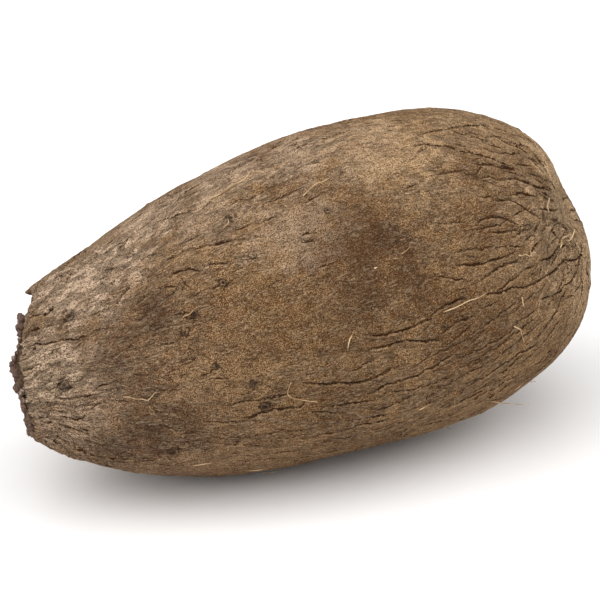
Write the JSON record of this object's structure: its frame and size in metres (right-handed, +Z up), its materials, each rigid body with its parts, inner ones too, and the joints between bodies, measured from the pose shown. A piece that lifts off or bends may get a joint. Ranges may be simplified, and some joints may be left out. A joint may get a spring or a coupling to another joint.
{
  "type": "yam",
  "caption": "Whole yam tuber, as picked: stout and barrel-shaped, with rough cracked bark-like skin, a torn stem scar and a puckered blunt end.",
  "frame": {"origin": "middle of the bounding box, on the surface that the yam lies on", "axes": "+X along the length, from the narrow stem end to the blunt end; +Z up"},
  "size_m": [0.229, 0.1228, 0.1268],
  "materials": {
    "skin": "dry, rough, cracked yam skin, like thin bark",
    "root_hair": "dry, pale root hair"
  },
  "bodies": {
    "root": {"yam": "skin"}
  },
  "joints": []
}
